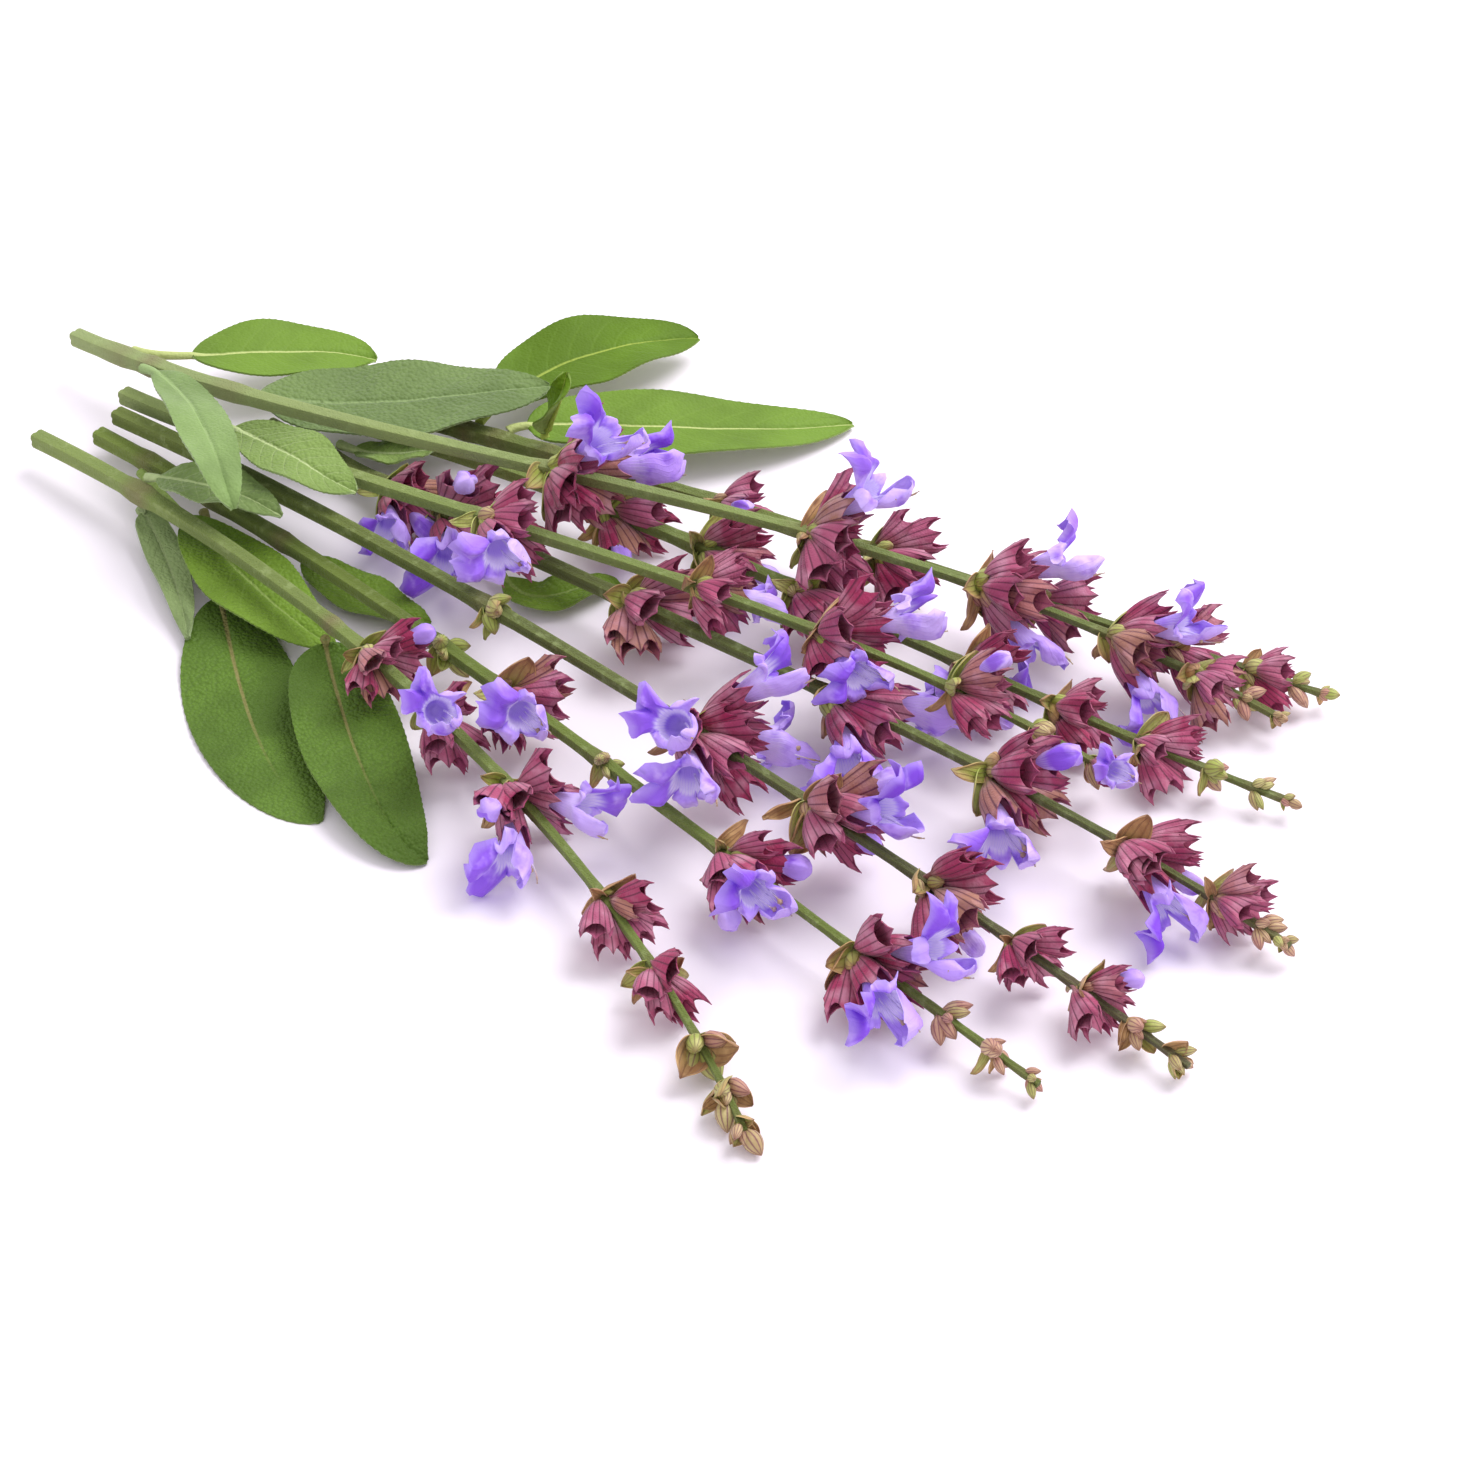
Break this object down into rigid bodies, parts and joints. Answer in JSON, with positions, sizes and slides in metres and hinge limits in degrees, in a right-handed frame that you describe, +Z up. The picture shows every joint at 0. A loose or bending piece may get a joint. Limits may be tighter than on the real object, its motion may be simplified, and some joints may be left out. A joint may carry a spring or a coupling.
{
  "type": "sage bunch",
  "caption": "Loose bunch of cut flowering sage lying on its side, with square stems, whorls of toothed maroon calyxes, violet two-lipped flowers and long grey-green leaves.",
  "frame": {"origin": "the middle of the bunch's outline, on the surface that it lies on", "axes": "+X from the cut ends to the flowering tips, +Z up"},
  "size_m": [0.3165, 0.1847, 0.0464],
  "materials": {
    "stem": "fresh green stem with maroon calyxes and tan bracts, fine hairs",
    "leaf": "soft, pebbled and finely hairy leaf",
    "corolla": "thin violet petal, satin"
  },
  "bodies": {
    "root": {"flowering_stem_1": "stem", "flowering_stem_2": "stem", "flowering_stem_3": "stem", "flowering_stem_4": "stem", "flowering_stem_5": "stem", "flowering_stem_6": "stem", "flowering_stem_7": "stem", "flowering_stem_8": "stem", "leaf_back_long": "leaf", "leaf_back_short": "leaf", "leaf_edge_narrow": "leaf", "leaf_far_oval": "leaf", "leaf_front_large": "leaf", "leaf_front_right": "leaf", "leaf_hanging_pale": "leaf", "leaf_large_grey": "leaf", "leaf_left_rolled": "leaf", "leaf_low_dark": "leaf", "leaf_low_narrow": "leaf", "leaf_middle_small": "leaf", "leaf_pale_veined": "leaf", "leaf_under_stem": "leaf", "leaf_upright_small": "leaf", "corolla_1": "corolla", "corolla_2": "corolla", "corolla_3": "corolla", "corolla_4": "corolla", "corolla_5": "corolla", "corolla_6": "corolla", "corolla_7": "corolla", "corolla_8": "corolla", "corolla_9": "corolla", "corolla_10": "corolla", "corolla_11": "corolla", "corolla_12": "corolla", "corolla_13": "corolla", "corolla_14": "corolla", "corolla_15": "corolla", "corolla_16": "corolla", "corolla_17": "corolla", "corolla_18": "corolla", "corolla_19": "corolla", "corolla_20": "corolla", "corolla_21": "corolla", "corolla_22": "corolla", "corolla_23": "corolla", "corolla_24": "corolla", "corolla_25": "corolla", "corolla_26": "corolla", "corolla_27": "corolla", "corolla_28": "corolla", "corolla_29": "corolla", "corolla_30": "corolla"}
  },
  "joints": []
}
